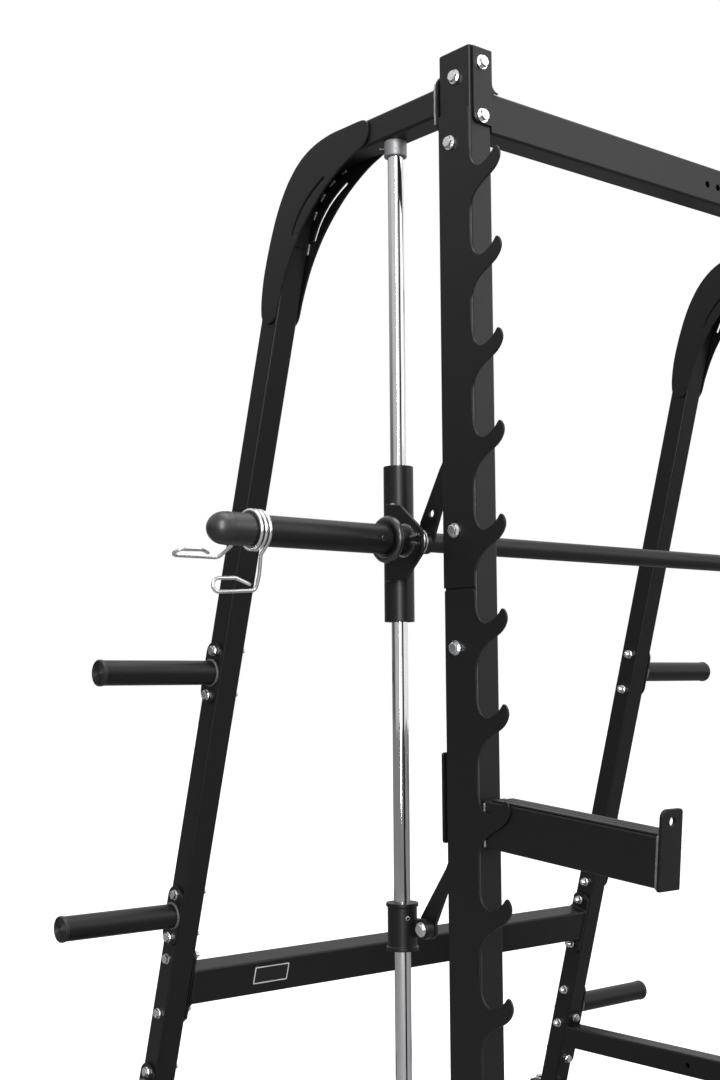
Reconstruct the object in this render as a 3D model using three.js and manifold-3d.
// Smith machine with a hook rack, built as separate pieces.
// Millimetres, +Z up, front of the machine towards -Y, width along X.
// Right-hand pieces (+X) are drawn; the left side (-X) mirrors them.
// Inside the group, y = 0 is the front faces of the front uprights and z = 0 is the floor.
import * as THREE from 'three';
import { mergeVertices } from 'three/addons/utils/BufferGeometryUtils.js';
import Module from 'manifold-3d';

const wasm = await Module();
wasm.setup();

// ---------------------------------------------------------------- driving dimensions
const ORIGIN_Y = 365;          // distance from the uprights' front faces back to the frame origin
const GAP = 0.3;               // clearance between neighbouring pieces

const FRAME_X = 621;           // side frame centre plane
const TUBE = 50;               // square tube
const WALL = 3;                // tube wall
const CORNER = 5;              // size of the tube's corners
const INNER_X = FRAME_X - TUBE / 2 - GAP;   // where pieces meet the frame's inboard face
const OUTER_X = FRAME_X + TUBE / 2 + GAP;   // where pieces meet the frame's outboard face

const UPRIGHT_D = 75;          // front upright depth (front to back)
const UPRIGHT_BACK = UPRIGHT_D + GAP;       // where the side rails start
const TOTAL_H = 2150;          // overall height
const BASE_H = 50;             // base rail height
const BASE_TOP = BASE_H + GAP; // underside of everything standing on the base rails

const PLATE_T = 4;             // rack, bracket and gusset plates
const FLANGE_T = 6;            // flanges on tube ends; the tube starts half-way into them

const TOP_RAIL_Z = 2075;       // centre of the level top rail
const RAIL_SEAM_Z = 1930;      // joint between top rail and rear upright
const SLOPE = 0.28;            // rear upright: distance back per distance down
const SLOPE_Y0 = 1065.3;       // rear upright's centre line at floor level

const LOWER_RAIL_Z = 186;      // lower side rail centre
const LOWER_RAIL_H = 52;

const ROD_Y = 216.5;           // guide rod
const ROD_R = 14;

const BAR_Y = 165.7;           // bar axis at rest
const BAR_Z = 1333;
const BAR_R = 17;
const AT_BAR = [0, BAR_Y, BAR_Z];

const LOCK_X = 604;            // centre plane of the lock and stop levers
const LEVER_T = 6;
const LEVER_INNER_X = LOCK_X - LEVER_T / 2;

const FACETS = 16;             // sides of a round piece
const HOLE_FACETS = 12;        // sides of most small holes
const OVERCUT = 5;             // how far a bore's cutter passes the piece's ends
const CLIP = 400;              // reach of the boxes that trim tube ends

// ---------------------------------------------------------------- solids
const X = new THREE.Vector3(1, 0, 0);
const Y = new THREE.Vector3(0, 1, 0);
const Z = new THREE.Vector3(0, 0, 1);

// separate triangles with positions only
function looseTriangles(geometry) {
  const loose = geometry.index ? geometry.toNonIndexed() : geometry.clone();
  loose.deleteAttribute('normal');
  loose.deleteAttribute('uv');
  return loose;
}

function welded(geometry) {
  const merged = mergeVertices(geometry, 1e-4);
  merged.computeVertexNormals();
  return merged;
}

// turn every triangle over by swapping its last two corners
function turnOver(positions) {
  for (let i = 0; i < positions.length; i += 9) {
    for (let k = 3; k < 6; k++) {
      const kept = positions[i + k];
      positions[i + k] = positions[i + k + 3];
      positions[i + k + 3] = kept;
    }
  }
}

// mirror a geometry in the plane x = 0, keeping its faces pointing out
function mirrored(geometry) {
  const loose = looseTriangles(geometry);
  const positions = loose.attributes.position.array;
  for (let i = 0; i < positions.length; i += 3) positions[i] = -positions[i];
  turnOver(positions);
  return welded(loose);
}

// make sure a closed surface's faces point out: its signed volume must be positive
function outward(geometry) {
  const loose = looseTriangles(geometry);
  const positions = loose.attributes.position.array;
  let volume = 0;
  for (let i = 0; i < positions.length; i += 9) {
    const [ax, ay, az, bx, by, bz, cx, cy, cz] = positions.slice(i, i + 9);
    volume += ax * (by * cz - bz * cy) - ay * (bx * cz - bz * cx) + az * (bx * cy - by * cx);
  }
  if (volume < 0) turnOver(positions);
  return welded(loose);
}

// a geometry as a manifold; a manifold passes through
function solid(piece) {
  if (!piece.isBufferGeometry) return piece;
  const merged = mergeVertices(looseTriangles(piece), 1e-4);
  return new wasm.Manifold(new wasm.Mesh({
    numProp: 3,
    vertProperties: new Float32Array(merged.attributes.position.array),
    triVerts: new Uint32Array(merged.index.array),
  }));
}

const join = (first, ...rest) => rest.reduce((sum, piece) => sum.add(solid(piece)), solid(first));
const cut = (first, ...rest) => rest.reduce((left, piece) => left.subtract(solid(piece)), solid(first));

function surface(manifold) {
  const mesh = manifold.getMesh();
  const geometry = new THREE.BufferGeometry();
  const positions = new Float32Array(mesh.vertProperties);
  geometry.setAttribute('position', new THREE.BufferAttribute(positions, 3));
  geometry.setIndex(new THREE.BufferAttribute(new Uint32Array(mesh.triVerts), 1));
  geometry.computeVertexNormals();
  return geometry;
}

// ---------------------------------------------------------------- outlines, as lists of pairs
const vectors = (pairs) => pairs.map(([x, y]) => new THREE.Vector2(x, y));

// arc about (x, y) between two angles in degrees
function arc(x, y, radius, from, to, steps) {
  const pairs = [];
  for (let i = 0; i <= steps; i++) {
    const angle = THREE.MathUtils.degToRad(from + (to - from) * i / steps);
    pairs.push([x + radius * Math.cos(angle), y + radius * Math.sin(angle)]);
  }
  return pairs;
}

// rectangle about the origin; each corner is an arc of one step, so a flat
function rectangle(width, height, corner) {
  const x = width / 2 - corner;
  const y = height / 2 - corner;
  return [[x, y, 0], [-x, y, 90], [-x, -y, 180], [x, -y, 270]]
    .flatMap(([cornerX, cornerY, from]) => arc(cornerX, cornerY, corner, from, from + 90, 1));
}

function circle(radius, sides, x = 0, y = 0) {
  const pairs = [];
  for (let i = 0; i < sides; i++) {
    const angle = 2 * Math.PI * i / sides;
    pairs.push([x + radius * Math.cos(angle), y + radius * Math.sin(angle)]);
  }
  return pairs;
}

function shapeOf(outline, holes = []) {
  const shape = new THREE.Shape(vectors(outline));
  for (const hole of holes) shape.holes.push(new THREE.Path(vectors(hole)));
  return shape;
}

const tubeOuter = (width, height) => rectangle(width, height, CORNER);
const tubeBore = (width, height) => rectangle(width - 2 * WALL, height - 2 * WALL, CORNER - WALL);
const tubeShape = (width, height) => shapeOf(tubeOuter(width, height), [tubeBore(width, height)]);

// ---------------------------------------------------------------- basic bodies
const FLAT = { bevelEnabled: false, curveSegments: 1 };
const prism = (shape, depth) => new THREE.ExtrudeGeometry(shape, { ...FLAT, depth });

// turn a geometry so that its x, y and z lie along the three given directions
const orient = (geometry, ...axes) =>
  geometry.applyMatrix4(new THREE.Matrix4().makeBasis(...axes));

// shape in (y, z), running towards +x from x0
const alongX = (shape, x0, length) => orient(prism(shape, length), Y, Z, X).translate(x0, 0, 0);
// shape in (-x, z), running back towards +y from y0
const backwards = (shape, y0, length) =>
  orient(prism(shape, length), X.clone().negate(), Z, Y).translate(0, y0, 0);
// shape in (x, z), running forwards towards -y from y0
const forwards = (shape, y0, length) =>
  orient(prism(shape, length), X, Z, Y.clone().negate()).translate(0, y0, 0);

const plateX = (outline, x0, thickness, holes) => alongX(shapeOf(outline, holes), x0, thickness);
const plateY = (outline, y0, thickness, holes) => forwards(shapeOf(outline, holes), y0, thickness);

function box(x0, x1, y0, y1, z0, z1) {
  const geometry = new THREE.BoxGeometry(x1 - x0, y1 - y0, z1 - z0);
  return geometry.translate((x0 + x1) / 2, (y0 + y1) / 2, (z0 + z1) / 2);
}

const cylinderY = (radius, length, sides = FACETS) =>
  new THREE.CylinderGeometry(radius, radius, length, sides);
const cylinderZ = (radius, length, sides) => cylinderY(radius, length, sides).rotateX(Math.PI / 2);
const rodX = (radius, x0, x1, y, z, sides) =>
  cylinderY(radius, x1 - x0, sides).rotateZ(Math.PI / 2).translate((x0 + x1) / 2, y, z);

// column about the guide rod's axis
const columnOnRod = (radius, z0, z1) =>
  prism(shapeOf(circle(radius, FACETS, FRAME_X, ROD_Y)), z1 - z0).translate(0, 0, z0);

// lathe a profile of (radius, place along the axis);
// it is closed on itself unless it starts on the axis
function lathe(profile) {
  const points = vectors(profile);
  if (points[0].x > 0) points.push(points[0].clone());
  return new THREE.LatheGeometry(points, FACETS);
}
const turnedZ = (profile) => outward(lathe(profile).rotateX(Math.PI / 2));
const turnedX = (profile) => outward(lathe(profile).rotateZ(-Math.PI / 2));

// ring with a rectangular section between two places along the axis
const ringProfile = (bore, radius, from, to) =>
  [[bore, from], [radius, from], [radius, to], [bore, to]];

// foot plate under an upright
const FOOT_T = 6;
const footPlate = (y, halfDepth) =>
  box(-TUBE / 2, TUBE / 2, y - halfDepth, y + halfDepth, BASE_TOP, BASE_TOP + FOOT_T);

// ---------------------------------------------------------------- the slanted line
const SLOPE_ANGLE = Math.atan(SLOPE);
const slopeY = (z) => SLOPE_Y0 - SLOPE * z;
// unit vectors of the slanted upright: up along it, and square to it towards the back
const UP = new THREE.Vector3(0, -Math.sin(SLOPE_ANGLE), Math.cos(SLOPE_ANGLE));
const BACK = new THREE.Vector3(0, Math.cos(SLOPE_ANGLE), Math.sin(SLOPE_ANGLE));
// place geometry drawn in (x, along BACK, along UP) about the centre line's point at height z
const onSlope = (geometry, z) => orient(geometry, X, BACK, UP).translate(0, slopeY(z), z);

// ---------------------------------------------------------------- finishes
const finish = (settings) => () => new THREE.MeshStandardMaterial(settings);
const powder = finish({ color: 0x1c1d1f, roughness: 0.5, metalness: 0.35 });
const chrome = finish({ color: 0xd8dadc, roughness: 0.12, metalness: 1.0 });
const zinc = finish({ color: 0xc8cbd0, roughness: 0.3, metalness: 1.0 });
const castGrey = finish({ color: 0x7d8084, roughness: 0.6, metalness: 0.8 });
const plastic = finish({ color: 0x161719, roughness: 0.55, metalness: 0.0 });
const rubber = finish({ color: 0x1a1a1a, roughness: 0.85, metalness: 0.0 });

// ---------------------------------------------------------------- assembly helpers
const machine = new THREE.Group();
machine.position.y = -ORIGIN_Y;

function addOne(name, geometry, material, position = [0, 0, 0]) {
  const mesh = new THREE.Mesh(geometry, material());
  mesh.name = name;
  mesh.position.set(...position);
  machine.add(mesh);
}

// the right-hand piece and its mirror image
function addPair(name, geometry, material, position = [0, 0, 0]) {
  const [x, y, z] = position;
  addOne(name + '_right', geometry, material, position);
  addOne(name + '_left', mirrored(geometry), material, [-x, y, z]);
}

// ---------------------------------------------------------------- front uprights
const LOCK_PITCH = 95;         // slots in the uprights' back faces
const LOCK_SLOT_Z = 1457;      // slot number 0
const LOWEST_SLOT = -10;
const HIGHEST_SLOT = 5;
const SLOT_HALF_W = 5;
const SLOT_HALF_H = 21;
const SLOT_REACH = 6;          // cutter's reach either side of the back face
const FRONT_FOOT_HALF = 75;    // foot plate's half depth

function frontUpright() {
  const tube = prism(tubeShape(TUBE, UPRIGHT_D), TOTAL_H - BASE_TOP).translate(0, 0, BASE_TOP);
  const x = LOCK_X - FRAME_X;
  const y = UPRIGHT_D / 2;
  const slots = [];
  for (let k = LOWEST_SLOT; k <= HIGHEST_SLOT; k++) {
    const z = LOCK_SLOT_Z + k * LOCK_PITCH;
    slots.push(box(x - SLOT_HALF_W, x + SLOT_HALF_W, y - SLOT_REACH, y + SLOT_REACH,
      z - SLOT_HALF_H, z + SLOT_HALF_H));
  }
  return surface(join(cut(tube, ...slots), footPlate(0, FRONT_FOOT_HALF)));
}
addPair('front_upright', frontUpright(), powder, [FRAME_X, UPRIGHT_D / 2, 0]);

// ---------------------------------------------------------------- hook rack plates
const HOOK_TOP = 1936.7;       // datum height of the highest hook, just under its cup floor
const HOOK_PITCH = 150;
const RACK_TOP = 2044;
const RACK_BOTTOM = 352;
const RACK_SEAM = 1245;        // middle of the joint between upper and lower rack plate
const SEAM_GAP = 4.6;
const LOWER_RACK_TOP = RACK_SEAM - SEAM_GAP / 2;
const LOWER_RACK_CHAMFER = 3;

// one hook, (y, height above its datum): from the plate's front edge down the throat,
// round the cup and tip, and back to the edge below
const HOOK_OUTLINE = [
  [0, 50], [-0.8, 40], [-1.8, 28], [-5, 16], [-11, 6.5], [-21.5, 0.6], [-30, 1.2],
  [-39.5, 5.2], [-48, 10.4], [-55, 16.4], [-61, 22.5], [-66, 20.5], [-70, 14.5],
  [-71.3, 8], [-68.5, -2], [-60, -12.5], [-48, -20.5], [-30, -29.5], [-15, -40],
  [-4, -55.5], [-0.5, -66],
];

// back: y of the plate's rear edge; frontCorner: (y, z) points of its top front corner;
// hooks are numbered from the top of the rack
function rackPlate({ bottom, top, back, frontCorner, firstHook, lastHook }) {
  const outline = [[back, bottom], [back, top], ...frontCorner];
  for (let k = firstHook; k <= lastHook; k++) {
    const datum = HOOK_TOP - HOOK_PITCH * k;
    outline.push(...HOOK_OUTLINE.map(([y, rise]) => [y, datum + rise]));
  }
  outline.push([0, bottom]);
  return plateX(outline, OUTER_X, PLATE_T);
}
addPair('hook_rack_upper', rackPlate({
  bottom: RACK_SEAM + SEAM_GAP / 2, top: RACK_TOP, back: 72,
  frontCorner: [[0, RACK_TOP]],
  firstHook: 0, lastHook: 4,
}), powder);
addPair('hook_rack_lower', rackPlate({
  bottom: RACK_BOTTOM, top: LOWER_RACK_TOP, back: 70,
  frontCorner: [[LOWER_RACK_CHAMFER, LOWER_RACK_TOP], [0, LOWER_RACK_TOP - LOWER_RACK_CHAMFER]],
  firstHook: 5, lastHook: 10,
}), powder);

// ---------------------------------------------------------------- top crossbeam with brackets
const BEAM_BOTTOM = 2007.5;
const BEAM_TOP = 2079;
const BEAM_D = 50;
const BEAM_FRONT = -0.6;       // y of its front face
const BEAM_HOLE = { radius: 6.5, x: 16, z: 2042, length: 12 };   // pair in the front wall
// right end bracket, (x, z): over the upright's front face, from its top down past the beam
const BRACKET_OUTLINE = [
  [FRAME_X + 21, TOTAL_H], [FRAME_X + 21, 2034], [FRAME_X + 18, 2024], [FRAME_X + 10, 2018.5],
  [INNER_X - 2.2, 2018.5], [INNER_X - 2.2, 2074], [INNER_X - 11.7, 2077],
  [INNER_X - 11.7, 2079.5], [INNER_X - 5, 2082], [INNER_X - 0.5, 2086.5],
  [INNER_X + 1.3, 2093], [INNER_X + 1.3, TOTAL_H],
];

function topCrossbeam() {
  const beam = alongX(tubeShape(BEAM_D, BEAM_TOP - BEAM_BOTTOM), -INNER_X, 2 * INNER_X)
    .translate(0, BEAM_FRONT + BEAM_D / 2, (BEAM_TOP + BEAM_BOTTOM) / 2);
  const bracket = plateY(BRACKET_OUTLINE, -GAP, PLATE_T);
  const holes = [BEAM_HOLE.x, -BEAM_HOLE.x].map((x) =>
    cylinderY(BEAM_HOLE.radius, BEAM_HOLE.length).translate(x, 0, BEAM_HOLE.z));
  return surface(cut(join(beam, bracket, mirrored(bracket)), ...holes));
}
addOne('top_crossbeam', topCrossbeam(), powder);

// ---------------------------------------------------------------- top rails, bent down at the back
const BEND_R = 155;            // bend radius at the rail's centre line
const BEND_Y = 366.8;          // where the bend starts
const BEND_STEPS = 8;
const BORE_START = 9;          // the bore starts this far behind the rail's front end
const END_CUT = 4;             // reach of the cutter that opens the lower end
// front flange, (x, z)
const TOP_FLANGE_OUTLINE = [
  [-27, 2100], [-27, 2040], [-22, 2026], [-12, 2019], [12, 2019], [22, 2026],
  [27, 2040], [27, 2100], [22, 2114], [12, 2121.5], [-12, 2121.5], [-22, 2114],
];

// stations along the rail's centre line: where it is and which way it runs
function railStations() {
  const station = (y, z, direction) => ({ centre: new THREE.Vector3(0, y, z), direction });
  const stations = [
    station(UPRIGHT_BACK + FLANGE_T / 2, TOP_RAIL_Z, Y),
    station(BEND_Y, TOP_RAIL_Z, Y),
  ];
  const turn = Math.PI / 2 - SLOPE_ANGLE;
  for (let i = 1; i <= BEND_STEPS; i++) {
    const angle = turn * i / BEND_STEPS;
    const sin = Math.sin(angle);
    const cos = Math.cos(angle);
    stations.push(station(BEND_Y + BEND_R * sin, TOP_RAIL_Z - BEND_R + BEND_R * cos,
      new THREE.Vector3(0, cos, -sin)));
  }
  stations.push(station(slopeY(RAIL_SEAM_Z), RAIL_SEAM_Z, UP.clone().negate()));
  return stations;
}

// carry an outline through the stations, with flat ends
function swept(outline, stations) {
  const points = vectors(outline);
  const rings = stations.map(({ centre, direction }) => {
    const up = new THREE.Vector3().crossVectors(X, direction).normalize();
    return points.map((p) => centre.clone().addScaledVector(X, p.x).addScaledVector(up, p.y));
  });
  const positions = [];
  const triangle = (...corners) => {
    for (const corner of corners) positions.push(corner.x, corner.y, corner.z);
  };
  for (let s = 0; s + 1 < rings.length; s++) {
    const ring = rings[s];
    const next = rings[s + 1];
    for (let i = 0; i < points.length; i++) {
      const j = (i + 1) % points.length;
      triangle(ring[i], ring[j], next[j]);
      triangle(ring[i], next[j], next[i]);
    }
  }
  const first = rings[0];
  const last = rings[rings.length - 1];
  for (const [a, b, c] of THREE.ShapeUtils.triangulateShape(points, [])) {
    triangle(first[a], first[c], first[b]);
    triangle(last[a], last[b], last[c]);
  }
  const geometry = new THREE.BufferGeometry();
  geometry.setAttribute('position', new THREE.BufferAttribute(new Float32Array(positions), 3));
  return outward(geometry);
}

function topRail() {
  const stations = railStations();
  const outer = swept(tubeOuter(TUBE, TUBE), stations);
  const flange = plateY(TOP_FLANGE_OUTLINE, UPRIGHT_BACK + FLANGE_T, FLANGE_T);
  // the bore runs out through the lower end only
  const frontEnd = box(-CLIP, CLIP, UPRIGHT_BACK - CLIP, UPRIGHT_BACK + BORE_START,
    TOP_RAIL_Z - CLIP, TOP_RAIL_Z + CLIP);
  const bore = cut(swept(tubeBore(TUBE, TUBE), stations), frontEnd);
  const half = TUBE / 2 - WALL;
  const openEnd = onSlope(box(-half, half, -half, half, -END_CUT, END_CUT), RAIL_SEAM_Z);
  return surface(cut(join(outer, flange), bore, openEnd));
}
addPair('top_rail', topRail(), powder, [FRAME_X, 0, 0]);

// ---------------------------------------------------------------- slanted rear uprights
const REAR_FOOT_HALF = 60;     // foot plate's half depth
const SPARE_LENGTH = 60;       // extra tube, trimmed off level at the foot

function rearUpright() {
  const length = (RAIL_SEAM_Z - BASE_H) / Math.cos(SLOPE_ANGLE) + SPARE_LENGTH;
  const tube = prism(tubeShape(TUBE, TUBE), length).translate(0, 0, -length - GAP);
  const below = box(-CLIP, CLIP, SLOPE_Y0 - CLIP, SLOPE_Y0 + CLIP, -CLIP, BASE_TOP);
  const foot = footPlate(slopeY(BASE_H), REAR_FOOT_HALF);
  return surface(join(cut(onSlope(tube, RAIL_SEAM_Z), below), foot));
}
addPair('rear_upright', rearUpright(), powder, [FRAME_X, 0, 0]);

// ---------------------------------------------------------------- crescent gussets over the bend
// outer edge of the bend, (y, z), from the front end to the lower end
const GUSSET_OUTER_EDGE = [
  [262, 2094], [275, 2100.4], [320, 2101.2], [368, 2100.8], [415, 2092.8], [455, 2076.3],
  [488, 2050.3], [514, 2018.4], [534, 1984], [551, 1945], [565, 1906], [575, 1872],
  [581.5, 1836], [583, 1810], [580, 1794], [572, 1784.5],
];
// inner edge of the bend, (y, z), back from the lower end
const GUSSET_INNER_EDGE = [
  [560, 1781.3], [546, 1785.5], [536, 1798], [526, 1826], [513, 1856], [497, 1887],
  [478, 1915.5], [455, 1944], [424, 1974], [392, 1999.5], [358, 2020.5], [322, 2038],
  [290, 2049], [272, 2054.5], [261.5, 2063], [257.6, 2076],
];
// centre line, (y, z), of the lightening slot that follows the bend
const GUSSET_SLOT_LINE = [[385, 2025], [414, 2010.8], [438, 1995.2], [460, 1974.5], [484.5, 1937]];
const GUSSET_SLOT_HALF_W = 3.2;

// outline of a strip to both sides of a line
function strip(line, halfWidth) {
  const left = [];
  const right = [];
  line.forEach(([y, z], i) => {
    const before = line[Math.max(0, i - 1)];
    const after = line[Math.min(line.length - 1, i + 1)];
    const runY = after[0] - before[0];
    const runZ = after[1] - before[1];
    const run = Math.hypot(runY, runZ);
    const offsetY = -runZ / run * halfWidth;
    const offsetZ = runY / run * halfWidth;
    left.push([y + offsetY, z + offsetZ]);
    right.push([y - offsetY, z - offsetZ]);
  });
  return [...left, ...right.reverse()];
}

function gusset(x0) {
  // anticlockwise, so that the extrusion also sets the slot's direction
  const outline = [...GUSSET_OUTER_EDGE, ...GUSSET_INNER_EDGE].reverse();
  return plateX(outline, x0, PLATE_T, [strip(GUSSET_SLOT_LINE, GUSSET_SLOT_HALF_W)]);
}
addPair('gusset_outer', gusset(OUTER_X), powder);
addPair('gusset_inner', gusset(INNER_X - PLATE_T), powder);

// ---------------------------------------------------------------- rear crossmember with end flanges
const CROSS_Z = 480;           // centre
const CROSS_H = 75;
const CROSS_HOLE = { radius: 4, length: 20 };   // in the middle of the underside
// end flange, (along BACK, along UP)
const CROSS_FLANGE_OUTLINE = [
  [-24, -66], [-14, -78], [14, -78], [24, -66], [24, 66], [14, 78], [-14, 78], [-24, 66],
];

function rearCrossmember() {
  const tubeEnd = INNER_X - FLANGE_T / 2;
  const tube = alongX(tubeShape(TUBE, CROSS_H), -tubeEnd, 2 * tubeEnd);
  const flange = plateX(CROSS_FLANGE_OUTLINE, INNER_X - FLANGE_T, FLANGE_T);
  const hole = cylinderZ(CROSS_HOLE.radius, CROSS_HOLE.length, HOLE_FACETS)
    .translate(0, 0, -CROSS_H / 2);
  return onSlope(surface(cut(join(tube, flange, mirrored(flange)), hole)), CROSS_Z);
}
addOne('rear_crossmember', rearCrossmember(), powder);

// ---------------------------------------------------------------- lower side rails
const LOWER_RAIL_STOCK = 1100; // tube length before its rear end is trimmed
const LOWER_FLANGE_HALF_W = 24;
const FRONT_FLANGE_HALF_H = 62;
const REAR_FLANGE_HALF_H = 68;
const REAR_FLANGE_T = 5;
// holes in the inboard wall
const RAIL_HOLE = { radius: 5, x0: -40, x1: -15, places: [591.6, 300] };

function lowerSideRail() {
  const tube = backwards(tubeShape(TUBE, LOWER_RAIL_H), UPRIGHT_BACK + FLANGE_T / 2, LOWER_RAIL_STOCK)
    .translate(0, 0, LOWER_RAIL_Z);
  const halfW = LOWER_FLANGE_HALF_W;
  const frontFlange = box(-halfW, halfW, UPRIGHT_BACK, UPRIGHT_BACK + FLANGE_T,
    LOWER_RAIL_Z - FRONT_FLANGE_HALF_H, LOWER_RAIL_Z + FRONT_FLANGE_HALF_H);
  // everything behind the slanted upright's front face goes
  const face = -TUBE / 2 - GAP;
  const behind = onSlope(box(-CLIP, CLIP, face, CLIP, -CLIP, CLIP), LOWER_RAIL_Z);
  const rearFlange = onSlope(box(-halfW, halfW, face - REAR_FLANGE_T, face,
    -REAR_FLANGE_HALF_H, REAR_FLANGE_HALF_H), LOWER_RAIL_Z);
  const holes = RAIL_HOLE.places.map((y) =>
    rodX(RAIL_HOLE.radius, RAIL_HOLE.x0, RAIL_HOLE.x1, y, LOWER_RAIL_Z, HOLE_FACETS));
  return surface(cut(join(cut(tube, behind), frontFlange, rearFlange), ...holes));
}
addPair('lower_side_rail', lowerSideRail(), powder, [FRAME_X, 0, 0]);

// ---------------------------------------------------------------- base rails on the floor
const BASE_FRONT = -385;
const BASE_BACK = 1115;
const baseRail = () => backwards(tubeShape(TUBE, BASE_H), BASE_FRONT, BASE_BACK - BASE_FRONT)
  .translate(0, 0, BASE_H / 2);
addPair('base_rail', baseRail(), powder, [FRAME_X, 0, 0]);

// ---------------------------------------------------------------- plate storage pegs
const PEG_Z = [1115, 627, 260.5];
const PEG_R = 24;
const PEG_LENGTH = 253;        // beyond its plate
const PEG_ROOT = 3;            // the peg starts this far into its plate
const PEG_RIM = 1.2;           // how far the rim at the peg's end stands proud
const PEG_PLATE_T = 5;
const PEG_PLATE_R = 24;        // round ends of the plate
const PEG_BOLTS = 90;          // bolt spacing along the slanted upright
const PEG_PLATE_MARGIN = 17;   // plate beyond the bolt centres

function storagePeg() {
  const arcZ = PEG_BOLTS / 2 + PEG_PLATE_MARGIN - PEG_PLATE_R;
  const plate = plateX([
    ...arc(0, arcZ, PEG_PLATE_R, 0, 180, 8),
    ...arc(0, -arcZ, PEG_PLATE_R, 180, 360, 8),
  ], 0, PEG_PLATE_T);
  const end = PEG_PLATE_T + PEG_LENGTH;
  const rim = PEG_R + PEG_RIM;
  const peg = turnedX([
    [0, PEG_ROOT], [PEG_R, PEG_ROOT], [PEG_R, end - 7], [rim, end - 6], [rim, end - 2],
    [PEG_R - 1, end], [0, end],
  ]);
  return orient(surface(join(plate, peg)), X, BACK, UP);
}
PEG_Z.forEach((z, i) => {
  addPair('storage_peg_' + (i + 1), storagePeg(), powder, [OUTER_X, slopeY(z), z]);
});

// ---------------------------------------------------------------- guide rods, sockets, bumpers
const ROD_FLOOR = LOWER_RAIL_Z + LOWER_RAIL_H / 2;
const ROD_CEILING = TOP_RAIL_Z - TUBE / 2;
const ROD_END_GAP = 2;
const SOCKET_R = 20.3;
const SOCKET_H = 28;
const SOCKET_BORE = ROD_R + 0.4;
const BUMPER_BORE = ROD_R + 0.6;
// (radius, z)
const BUMPER_PROFILE = [[BUMPER_BORE, 0], [23, 0], [25, 3], [25, 27], [23, 30], [BUMPER_BORE, 30]];

const guideRod = () => cylinderZ(ROD_R, ROD_CEILING - ROD_FLOOR - 2 * ROD_END_GAP);
const socket = () => turnedZ(ringProfile(SOCKET_BORE, SOCKET_R, 0, SOCKET_H));
const onRod = (z) => [FRAME_X, ROD_Y, z];
addPair('guide_rod', guideRod(), chrome, onRod((ROD_CEILING + ROD_FLOOR) / 2));
addPair('rod_top_socket', socket(), castGrey, onRod(ROD_CEILING - GAP - SOCKET_H));
addPair('rod_bottom_socket', socket(), castGrey, onRod(ROD_FLOOR + GAP));
addPair('rod_bumper', turnedZ(BUMPER_PROFILE), rubber, onRod(ROD_FLOOR + GAP + SOCKET_H + GAP));

// ---------------------------------------------------------------- carriage
const CARRIAGE_R = 26;
const CARRIAGE_BORE = 20.6;
const CARRIAGE_BOTTOM = 1197.7;
const CARRIAGE_TOP = 1467.5;
const BEARING_PLATE_X = FRAME_X + 24;
const BEARING_PLATE_T = 6;
const HOUSING = { radius: 25, x0: 634, x1: 683, bore: BAR_R + 0.5 };
const BUSH_R = 20.2;
const BUSH_BORE = ROD_R + 0.4;
const BUSH_INSET = 4;          // from the sleeve's ends
// bearing plate, (y, z)
const BEARING_PLATE_OUTLINE = [
  [216, 1268], [218, 1397], [180, 1395.4], [129.5, 1353.5], [124, 1346], [124.5, 1311.1],
  [168, 1266.7],
];

// sleeve round the rod, with a bearing plate and a housing for the bar
function carriageSleeve() {
  const tube = columnOnRod(CARRIAGE_R, CARRIAGE_BOTTOM, CARRIAGE_TOP);
  const plate = plateX(BEARING_PLATE_OUTLINE, BEARING_PLATE_X, BEARING_PLATE_T);
  const housing = rodX(HOUSING.radius, HOUSING.x0, HOUSING.x1, BAR_Y, BAR_Z);
  const bore = columnOnRod(CARRIAGE_BORE, CARRIAGE_BOTTOM - OVERCUT, CARRIAGE_TOP + OVERCUT);
  const barBore = rodX(HOUSING.bore, 600, 700, BAR_Y, BAR_Z);
  return surface(cut(join(tube, plate, housing), bore, barBore));
}

function carriageBushing() {
  const height = CARRIAGE_TOP - CARRIAGE_BOTTOM - 2 * BUSH_INSET;
  return turnedZ(ringProfile(BUSH_BORE, BUSH_R, 0, height));
}
addPair('carriage_sleeve', carriageSleeve(), powder);
addPair('carriage_bushing', carriageBushing(), plastic, onRod(CARRIAGE_BOTTOM + BUSH_INSET));

// ---------------------------------------------------------------- the bar and what turns with it
const BAR_END = 1000;
const BAR_TIP = 1050.7;        // tip of the end cap
const BAR_FIT = BAR_R + 0.4;   // bore of the pieces on the bar
const SLEEVE_R = 25;
const SLEEVE_IN = 698.3;
const SLEEVE_OUT = 962;
const CAP_R = 26;
const CAP_BORE = BAR_R + 0.6;
const CAP_DOME_X = 1022;       // where the cap's dome starts
const CAP_DOME_STEPS = 4;
// (radius, x)
const BAR_FLANGE_PROFILE = [
  [BAR_FIT, 684], [37, 684], [40, 688], [40, 693], [35, 698], [BAR_FIT, 698],
];

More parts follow.
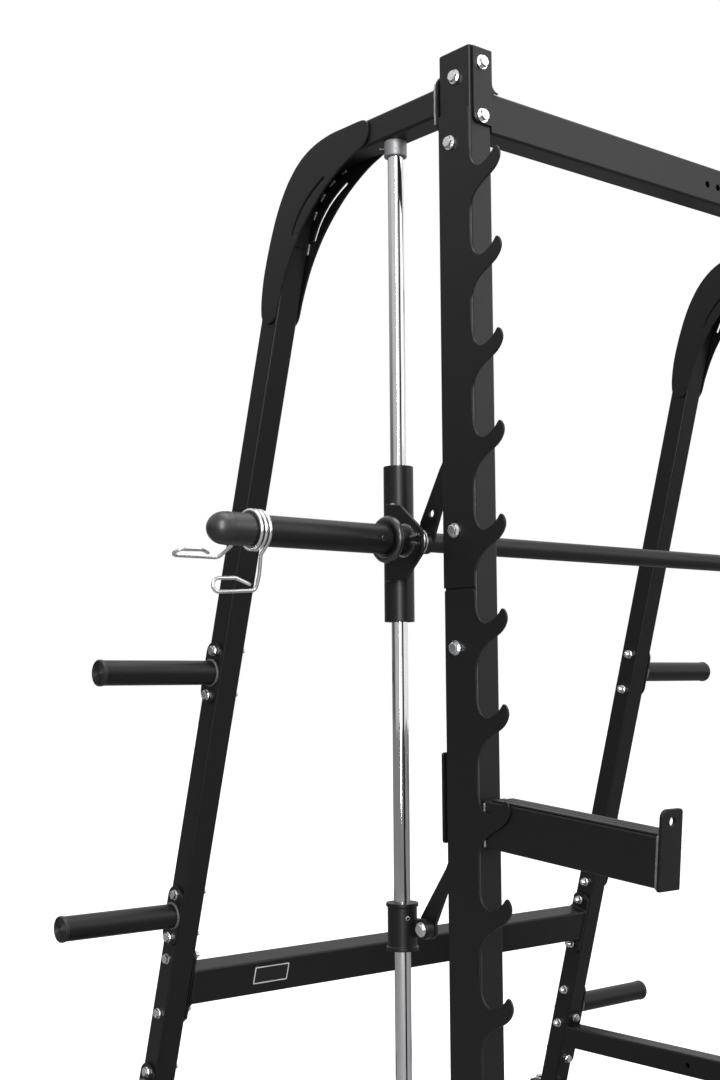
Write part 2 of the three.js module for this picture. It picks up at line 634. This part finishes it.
function barEndCap() {
  const profile = [
    [0, BAR_END + GAP], [CAP_BORE, BAR_END + GAP], [CAP_BORE, SLEEVE_OUT + GAP],
    [CAP_R, SLEEVE_OUT + GAP], [CAP_R, CAP_DOME_X],
  ];
  for (let i = 1; i < CAP_DOME_STEPS; i++) {
    const angle = Math.PI / 2 * i / CAP_DOME_STEPS;
    profile.push([
      CAP_R * Math.cos(angle),
      CAP_DOME_X + (BAR_TIP - CAP_DOME_X) * Math.sin(angle),
    ]);
  }
  profile.push([0, BAR_TIP]);
  return turnedX(profile);
}
addOne('bar', rodX(BAR_R, -BAR_END, BAR_END, 0, 0), powder, AT_BAR);
addPair('bar_sleeve', turnedX(ringProfile(BAR_FIT, SLEEVE_R, SLEEVE_IN, SLEEVE_OUT)), powder, AT_BAR);
addPair('bar_flange', turnedX(BAR_FLANGE_PROFILE), powder, AT_BAR);
addPair('bar_end_cap', barEndCap(), rubber, AT_BAR);

// ---------------------------------------------------------------- lock hooks
const LOCK_HUB_R = 20.5;
const LOCK_HUB_END = 633;
const LOCK_HOLE = circle(6.5, HOLE_FACETS, 148.6, 1381.1);
// (y, z): round the hub, then up and forwards to the nose and back down
const LOCK_OUTLINE = [
  ...arc(BAR_Y, BAR_Z, LOCK_HUB_R, 190, 420, 14),
  [177.4, 1367.2], [125.5, 1456.5], [104, 1484], [94, 1488], [88, 1482],
  [88, 1468], [100, 1456], [101, 1442], [119.2, 1396.1], [140.6, 1347],
];

function lockHook() {
  const lever = plateX(LOCK_OUTLINE, LEVER_INNER_X, LEVER_T, [LOCK_HOLE]);
  const hub = rodX(LOCK_HUB_R, LEVER_INNER_X, LOCK_HUB_END, BAR_Y, BAR_Z);
  const bore = rodX(BAR_FIT, 580, 660, BAR_Y, BAR_Z);
  return surface(cut(join(lever, hub), bore));
}
addPair('lock_hook', lockHook(), powder);

// ---------------------------------------------------------------- spring collars on the sleeves
const COLLAR_X = 963;
const COLLAR_WIRE = 2.75;      // wire radius
const COLLAR_COIL_R = 30.6;    // wire centre line; sits a little loose on the sleeve
// angles in degrees; x is the coil's place at 180 degrees
const COIL = { from: 60, to: 952, pitch: 8.4, x: 9.1, steps: 44 };
const WIRE_SIDES = 5;
const WIRE_STEPS = 110;
// Wire centre lines, (outboard along the bar, y, z) about the collar's origin on the bar axis.
// Each end leaves the coil, bends outboard and turns back on itself as a finger grip.
const BACK_GRIP = [
  [12, 26, 19.5], [11.5, 34, 7], [11, 41, -9], [11, 50, -22], [11, 66, -29],
  [11, 79, -34.5], [13, 85.5, -37.2], [19, 86.8, -37.8], [50, 86.8, -37.8],
  [86, 86.8, -37.6], [95, 83.2, -36.1], [98.5, 77.4, -33.7], [95, 71.6, -31.2],
  [86, 68.6, -29.6], [66, 69, -28.4], [50, 70.5, -28.8], [38, 75, -31.8],
];
const LOW_GRIP = [
  [-9, -9.5, -31], [-9.5, -2.5, -38.5], [-10, 0.8, -47], [-10.5, 2.5, -60],
  [-11, 8.5, -80], [-10, 14.5, -89], [-5, 18.4, -92.7], [8, 18.8, -93.8],
  [35, 18.8, -95.8], [55, 18.8, -97.3], [63.5, 18.8, -95], [67, 18.8, -87.5],
  [63.5, 18.8, -79.5], [55, 18.8, -76.6], [40, 18.8, -75.4], [24, 18.8, -75],
  [10, 18.8, -79.3], [-2, 18.8, -84],
];

function springCollar() {
  const coil = [];
  for (let i = 0; i <= COIL.steps; i++) {
    const degrees = COIL.from + (COIL.to - COIL.from) * i / COIL.steps;
    const angle = THREE.MathUtils.degToRad(degrees);
    coil.push([
      COIL.x - COIL.pitch * (degrees - 180) / 360,
      COLLAR_COIL_R * Math.cos(angle),
      COLLAR_COIL_R * Math.sin(angle),
    ]);
  }
  const line = [...[...BACK_GRIP].reverse(), ...coil, ...LOW_GRIP]
    .map((point) => new THREE.Vector3(...point));
  const extrudePath = new THREE.CatmullRomCurve3(line, false, 'centripetal');
  return outward(new THREE.ExtrudeGeometry(
    shapeOf(circle(COLLAR_WIRE, WIRE_SIDES)),
    { ...FLAT, steps: WIRE_STEPS, extrudePath },
  ));
}
addPair('spring_collar', springCollar(), chrome, [COLLAR_X, BAR_Y, BAR_Z]);

// ---------------------------------------------------------------- safety stops on the guide rods
const STOP_BOTTOM = 644;
const STOP_TOP = 723;
const STOP_H = STOP_TOP - STOP_BOTTOM;
const STOP_BORE = ROD_R + 0.5;
const PIVOT_Y = 166.6;
const PIVOT_Z = 683.4;
const PIVOT_BORE = 5.4;
const BOSS_R = 17;
const BOSS_X0 = LOCK_X + LEVER_T / 2 + 1;
const BOSS_X1 = 622;
// block between boss and collar: outboard end, start behind the pivot,
// end in front of the rod's axis, half height
const NECK = { x1: 621.6, fromPivot: 8, fromRod: 20, halfHeight: 15 };
// collar body, (radius, z)
const STOP_PROFILE = [
  [STOP_BORE, 0], [27.5, 0], [27.5, 6], [25, 8],
  [25, STOP_H - 8], [27.5, STOP_H - 6], [27.5, STOP_H], [STOP_BORE, STOP_H],
];
// (y, z): round the pivot, then up and forwards to the nose and back down
const STOP_LEVER_OUTLINE = [
  ...arc(PIVOT_Y, PIVOT_Z, 18, 185, 385, 12),
  [186, 700], [122.6, 785.8], [104, 818], [94, 824], [88, 818],
  [88, 804], [100, 792], [108, 776], [120.6, 748.5], [149.5, 692.5],
];
// radius, inboard end, outboard end, sides: shank, outboard disc, two hexagons
const PIVOT_BOLT_PARTS = [
  [5, LOCK_X - 12, 623, 12],
  [11, 622.4, 624.4, 18],
  [8.5, 624, 628.6, 6],
  [8.5, LOCK_X - 11.6, LOCK_X - 4.4, 6],
];
const onPivot = (radius, x0, x1, sides) => rodX(radius, x0, x1, PIVOT_Y, PIVOT_Z, sides);

function stopCollar() {
  const body = turnedZ(STOP_PROFILE).translate(...onRod(STOP_BOTTOM));
  const boss = onPivot(BOSS_R, BOSS_X0, BOSS_X1);
  const neck = box(BOSS_X0, NECK.x1, PIVOT_Y + NECK.fromPivot, ROD_Y - NECK.fromRod,
    PIVOT_Z - NECK.halfHeight, PIVOT_Z + NECK.halfHeight);
  const rodBore = columnOnRod(STOP_BORE, STOP_BOTTOM - OVERCUT, STOP_TOP + OVERCUT);
  const pivotBore = onPivot(PIVOT_BORE, 590, 640, HOLE_FACETS);
  return surface(cut(join(body, boss, neck), rodBore, pivotBore));
}

function stopLever() {
  const hole = circle(PIVOT_BORE, HOLE_FACETS, PIVOT_Y, PIVOT_Z);
  return plateX(STOP_LEVER_OUTLINE, LEVER_INNER_X, LEVER_T, [hole]);
}

const stopPivotBolt = () => surface(join(...PIVOT_BOLT_PARTS.map((part) => onPivot(...part))));
addPair('stop_collar', stopCollar(), powder);
addPair('stop_lever', stopLever(), powder);
addPair('stop_pivot_bolt', stopPivotBolt(), zinc);

// ---------------------------------------------------------------- spotter arms
const ARM_DROOP = THREE.MathUtils.degToRad(5);
const ARM_H = 75;
const ARM_LENGTH = 349;
const ARM_ROOT = [FRAME_X, -10, 871];
const HALF_TUBE = TUBE / 2;
const ARM_DRAIN = { radius: 5, length: 20, y: -40 };   // hole in the underside near the root
// bracket round the front, inboard side and back of the upright
const WRAP_X = FRAME_X - HALF_TUBE - 6;     // its inboard face
const WRAP_SIDE_T = 5.2;
const WRAP_FRONT = [WRAP_X, FRAME_X + HALF_TUBE - 0.5, -12, -6.5, 836, 904];
const WRAP_REAR = [WRAP_X, FRAME_X + HALF_TUBE + 2, 79.5, 85, 834, 980];
// (y, z)
const WRAP_SIDE_OUTLINE = [
  [-12, 838], [8, 838], [40, 834], [85, 834], [85, 980], [40, 980], [8, 904], [-12, 902],
];
// plate on the arm's front end, (x, z) about the arm's axis
const ARM_END_OUTLINE = [
  [-20, -41], [HALF_TUBE, -41], [HALF_TUBE, 62], [HALF_TUBE - 3.5, 70],
  [HALF_TUBE - 11, 74.5], [-15, 74.5], [-18.5, 73], [-20, 69.5],
];
const ARM_END_T = 6;
const ARM_END_LAP = 1;         // overlap of the end plate and the tube
const ARM_END_HOLE = circle(6.5, HOLE_FACETS, 2, 56.5);
// pad on top of the arm: half width, front end's setback, rear end, top above the arm
const PAD = { halfWidth: 24, setback: 3, rear: -14, rise: 2.7 };

// place geometry drawn forwards along -y from the arm's root
const onArm = (geometry) => geometry.rotateX(ARM_DROOP).translate(...ARM_ROOT);

function spotterArm() {
  const tube = forwards(tubeShape(TUBE, ARM_H), 0, ARM_LENGTH);
  const end = plateY(ARM_END_OUTLINE, -ARM_LENGTH + ARM_END_LAP, ARM_END_T, [ARM_END_HOLE]);
  const drain = cylinderZ(ARM_DRAIN.radius, ARM_DRAIN.length, HOLE_FACETS)
    .translate(0, ARM_DRAIN.y, -ARM_H / 2);
  const arm = cut(join(onArm(tube), onArm(end)), onArm(drain));
  const side = plateX(WRAP_SIDE_OUTLINE, WRAP_X, WRAP_SIDE_T);
  return surface(join(arm, box(...WRAP_FRONT), side, box(...WRAP_REAR)));
}

const spotterPad = () => onArm(box(-PAD.halfWidth, PAD.halfWidth,
  -ARM_LENGTH + PAD.setback, PAD.rear, ARM_H / 2 + GAP, ARM_H / 2 + PAD.rise));
addPair('spotter_arm', spotterArm(), powder);
addPair('spotter_pad', spotterPad(), plastic);

export default machine;
